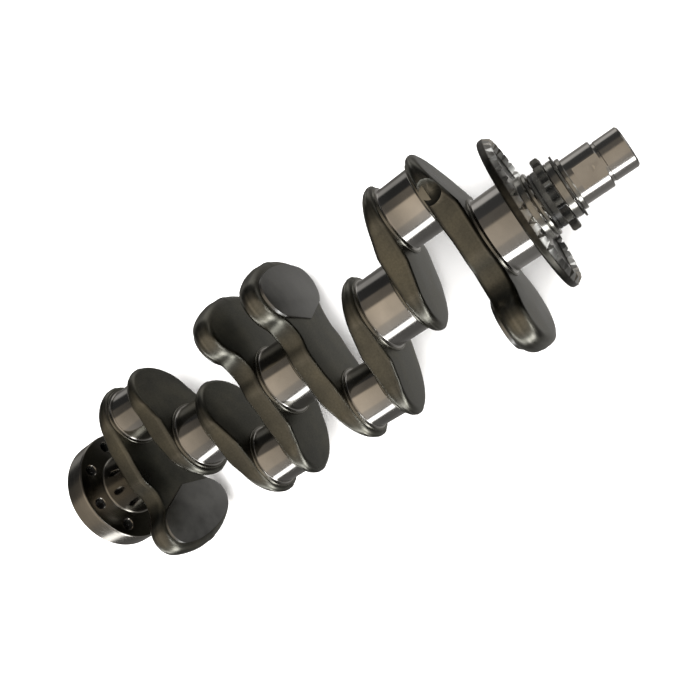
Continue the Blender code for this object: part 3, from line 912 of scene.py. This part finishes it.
def make_sprocket():
    """Single-row chain sprocket: a disc of slim teeth with chamfered sides, on a plain hub."""
    back, front = span("chain_sprocket")
    tip = radius_of("chain_sprocket")
    disc_back = front - SPROCKET_DISC
    outline = sprocket_outline(tip)
    radii = np.linalg.norm(outline, axis=1)
    count = len(outline)
    chamfer = 0.9
    levels = [(disc_back, np.minimum(radii, tip - 1.0)), (disc_back + chamfer, np.minimum(radii, tip)),
              (front - chamfer, np.minimum(radii, tip)), (front, np.minimum(radii, tip - 1.0)),
              (front, RING_BORE), (disc_back, RING_BORE)]
    layers = []
    for x, reach in levels:
        scaled = outline * (reach / radii)[:, None]
        layers.append(np.stack([np.full(count, x), scaled[:, 0], scaled[:, 1]], axis=1))
    faces = []
    for layer in range(len(layers)):
        faces += strip(layer * count, (layer + 1) % len(layers) * count, count)
    keep("sprocket_teeth", mesh_from("sprocket_teeth", np.concatenate(layers), faces), BLACKED,
         ("chain_sprocket",), sharp=28.0)
    hub = SPROCKET_HUB
    groove = hub - 0.5
    profile = [(back, RING_BORE), (back, hub - 0.6), (back + 0.6, hub), (back + 2.0, hub),
               (back + 2.2, groove), (back + 2.6, groove), (back + 2.8, hub), (disc_back + 1.0, hub),
               (disc_back + 1.0, RING_BORE)]
    keep("sprocket_hub", turned_mesh("sprocket_hub", profile, closed=True), BLACKED)


def make_front_drive():
    """The rings and wheels on the snout, from the wheel forwards, and the key's finish."""
    make_snout()
    make_wheel()
    ring_piece("washer", "front_washer", TURNED, chamfer=0.6)
    make_sprocket()
    ring_piece("collar", "spacer_collar", TURNED, grooves=((1.4, 0.5),))
    ring_piece("slinger", "oil_slinger", BLACKED, chamfer=0.2)
    ring_piece("snout_collar", "snout_ring", TURNED)
    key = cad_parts["drive_key"]
    key.data.materials.clear()
    key.data.materials.append(TURNED)


# ---------------------------------------------------------------- camera, light and floor

CAMERA_AT = Vector((0.2475, 0.0007, 0.4512))
CAMERA_AIM = Vector((0.0473, -0.0099, 0.0))
CAMERA_UP = Vector((0.5065, 0.8270, -0.2442))
LENS = 33.58                     # millimetres, on a 36 mm wide sensor
SOFTBOX_WATTS = 150.0
SOFTBOX_AT = (0.2, 0.2, 2.2)
SOFTBOX_SIDE = 2.6
FLOOR_GAP = 0.001                # below the lowest point of the CAD model, in metres
FLOOR_RADIUS = 2.2               # flat part of the floor, in metres
CURVE_RADIUS = 1.2               # curve from the floor up to the backdrop
WALL_TOP = 4.0
FLOOR_STEPS = 64


def make_camera():
    """Camera above the snout's end, rolled so that the crank rises to the right."""
    data = bpy.data.cameras.new("camera")
    data.lens = LENS
    data.sensor_width = 36.0
    data.clip_start = 0.01
    data.clip_end = 20.0
    camera = bpy.data.objects.new("camera", data)
    bpy.context.scene.collection.objects.link(camera)
    back = (CAMERA_AT - CAMERA_AIM).normalized()
    right = CAMERA_UP.cross(back).normalized()
    up = back.cross(right)
    camera.matrix_world = Matrix((
        (right.x, up.x, back.x, CAMERA_AT.x),
        (right.y, up.y, back.y, CAMERA_AT.y),
        (right.z, up.z, back.z, CAMERA_AT.z),
        (0.0, 0.0, 0.0, 1.0),
    ))
    bpy.context.scene.camera = camera


def make_softbox():
    """One large square soft light overhead, which the steel doesn't mirror."""
    data = bpy.data.lights.new("softbox", "AREA")
    data.shape = "SQUARE"
    data.size = SOFTBOX_SIDE
    data.energy = SOFTBOX_WATTS
    softbox = bpy.data.objects.new("softbox", data)
    bpy.context.scene.collection.objects.link(softbox)
    softbox.location = SOFTBOX_AT
    aim = Vector((0.05, 0.0, 0.0))
    softbox.rotation_euler = (Vector(SOFTBOX_AT) - aim).to_track_quat("Z", "Y").to_euler()
    softbox.visible_glossy = False


def grey(level, warmth=0.0):
    """A grey of one level, warmer towards tan as warmth rises."""
    return (level, level * (1.0 - 0.45 * warmth), level * (1.0 - warmth))


# What the steel mirrors, as (degrees round the crank axis, colour) stops: 0 is straight up and
# 90 is towards -Y. The card is a tan sheet overhead; the lamps are two strips and a dim fill.
CARD_ROUND = [
    (-64.0, grey(0.0)), (-60.0, grey(0.13, 0.32)), (-33.0, grey(0.13, 0.32)), (-27.0, grey(0.66, 0.34)),
    (27.0, grey(0.70, 0.30)), (33.0, grey(0.52, 0.22)), (58.0, grey(0.48, 0.14)), (62.0, grey(0.0)),
]
LAMPS_ROUND = [
    (-180.0, grey(0.26, 0.06)), (-150.0, grey(0.15, 0.08)), (-134.0, grey(0.12, 0.10)),
    (-122.0, grey(0.34, 0.05)), (-106.0, grey(0.34, 0.05)), (-98.0, grey(0.03)), (62.0, grey(0.03)),
    (66.0, grey(2.8)), (80.0, grey(2.8)), (84.0, grey(0.13, 0.05)), (118.0, grey(0.12, 0.05)),
    (150.0, grey(0.18, 0.05)), (180.0, grey(0.26, 0.06)),
]
# How both fade along the crank, as (x of the direction, level) stops.
CARD_ALONG = [
    (-1.0, 0.50), (-0.84, 0.36), (-0.72, 0.36), (-0.55, 0.66), (-0.30, 1.0), (-0.20, 0.80), (-0.14, 0.55),
    (-0.08, 0.55), (0.0, 0.66), (0.30, 0.70), (0.80, 0.65), (1.0, 0.60),
]
LAMPS_ALONG = [
    (-1.0, 1.7), (-0.86, 1.5), (-0.78, 1.0), (-0.20, 1.0), (-0.12, 1.5), (0.02, 2.0), (0.12, 1.7),
    (0.42, 1.6), (0.60, 0.85), (0.66, 0.75), (0.70, 0.30), (0.76, 0.30), (0.84, 1.3), (1.0, 1.9),
]


def ramp(tree, source, stops):
    """A colour ramp over 0 to 1 of (position, colour) stops."""
    node = tree.nodes.new("ShaderNodeValToRGB")
    elements = node.color_ramp.elements
    while len(elements) < len(stops):
        elements.new(0.5)
    for element, (position, colour) in zip(elements, stops):
        element.position = position
        element.color = (*colour, 1.0)
    tree.links.new(source, node.inputs["Fac"])
    return node.outputs["Color"]


def combined(tree, blend, first, second):
    """Two colours multiplied or added."""
    node = tree.nodes.new("ShaderNodeMix")
    node.data_type = "RGBA"
    node.blend_type = blend
    node.inputs["Factor"].default_value = 1.0
    tree.links.new(first, node.inputs["A"])
    tree.links.new(second, node.inputs["B"])
    return node.outputs["Result"]


def to_unit_range(tree, source, low, high):
    """A value mapped from low..high to 0..1."""
    node = tree.nodes.new("ShaderNodeMapRange")
    node.inputs["From Min"].default_value = low
    node.inputs["From Max"].default_value = high
    tree.links.new(source, node.inputs["Value"])
    return node.outputs["Result"]


def sky_layer(tree, round_axis, along_axis, round_stops, along_stops):
    """One layer of the studio: its colour round the crank axis times its level along it."""
    colour = ramp(tree, round_axis, [((degrees + 180.0) / 360.0, shade) for degrees, shade in round_stops])
    level = ramp(tree, along_axis, [((x + 1.0) / 2.0, grey(value)) for x, value in along_stops])
    return combined(tree, "MULTIPLY", colour, level)


def make_surroundings():
    """Dark studio with a tan card overhead and narrow strip lights along the crank."""
    world = bpy.data.worlds.new("studio")
    world.use_nodes = True
    tree = world.node_tree
    background = tree.nodes["Background"]
    coordinates = tree.nodes.new("ShaderNodeTexCoord")
    separate = tree.nodes.new("ShaderNodeSeparateXYZ")
    tree.links.new(coordinates.outputs["Generated"], separate.inputs["Vector"])
    flip = tree.nodes.new("ShaderNodeMath")
    flip.operation = "MULTIPLY"
    flip.inputs[1].default_value = -1.0
    tree.links.new(separate.outputs["Y"], flip.inputs[0])
    angle = tree.nodes.new("ShaderNodeMath")
    angle.operation = "ARCTAN2"
    tree.links.new(flip.outputs["Value"], angle.inputs[0])
    tree.links.new(separate.outputs["Z"], angle.inputs[1])
    round_axis = to_unit_range(tree, angle.outputs["Value"], -math.pi, math.pi)
    along_axis = to_unit_range(tree, separate.outputs["X"], -1.0, 1.0)
    card = sky_layer(tree, round_axis, along_axis, CARD_ROUND, CARD_ALONG)
    lamps = sky_layer(tree, round_axis, along_axis, LAMPS_ROUND, LAMPS_ALONG)
    tree.links.new(combined(tree, "ADD", card, lamps), background.inputs["Color"])
    bpy.context.scene.world = world


def make_floor():
    """Pale floor that curves up into a backdrop, which the steel doesn't mirror."""
    low, _ = cad_box
    floor_z = low.z - FLOOR_GAP
    rings = [(0.0, 0.0), (1.0, 0.0), (FLOOR_RADIUS, 0.0)]
    for degrees in range(10, 91, 10):
        turn = math.radians(degrees)
        rings.append((FLOOR_RADIUS + CURVE_RADIUS * math.sin(turn), CURVE_RADIUS * (1.0 - math.cos(turn))))
    rings.append((FLOOR_RADIUS + CURVE_RADIUS, WALL_TOP))
    turns = [2.0 * math.pi * i / FLOOR_STEPS for i in range(FLOOR_STEPS)]
    points = []
    for radius, height in rings:
        level = (height + floor_z) / MM
        for turn in turns:
            points.append((radius * math.cos(turn) / MM, radius * math.sin(turn) / MM, level))
    faces = []
    for ring in range(len(rings) - 1):
        faces += strip(ring * FLOOR_STEPS, (ring + 1) * FLOOR_STEPS, FLOOR_STEPS)
    mesh = mesh_from("floor", points, faces)
    mesh.shade_smooth()
    floor = bpy.data.objects.new("floor", mesh)
    bpy.context.scene.collection.objects.link(floor)
    paper = Nodes("floor_paper", (0.90, 0.90, 0.90), 0.9, 0.0)
    mesh.materials.append(paper.material)
    floor.visible_glossy = False


bpy.context.scene.view_settings.view_transform = "Standard"
make_camera()
make_surroundings()
make_floor()
make_softbox()
make_journals()
make_webs()
make_flange()
make_front_drive()
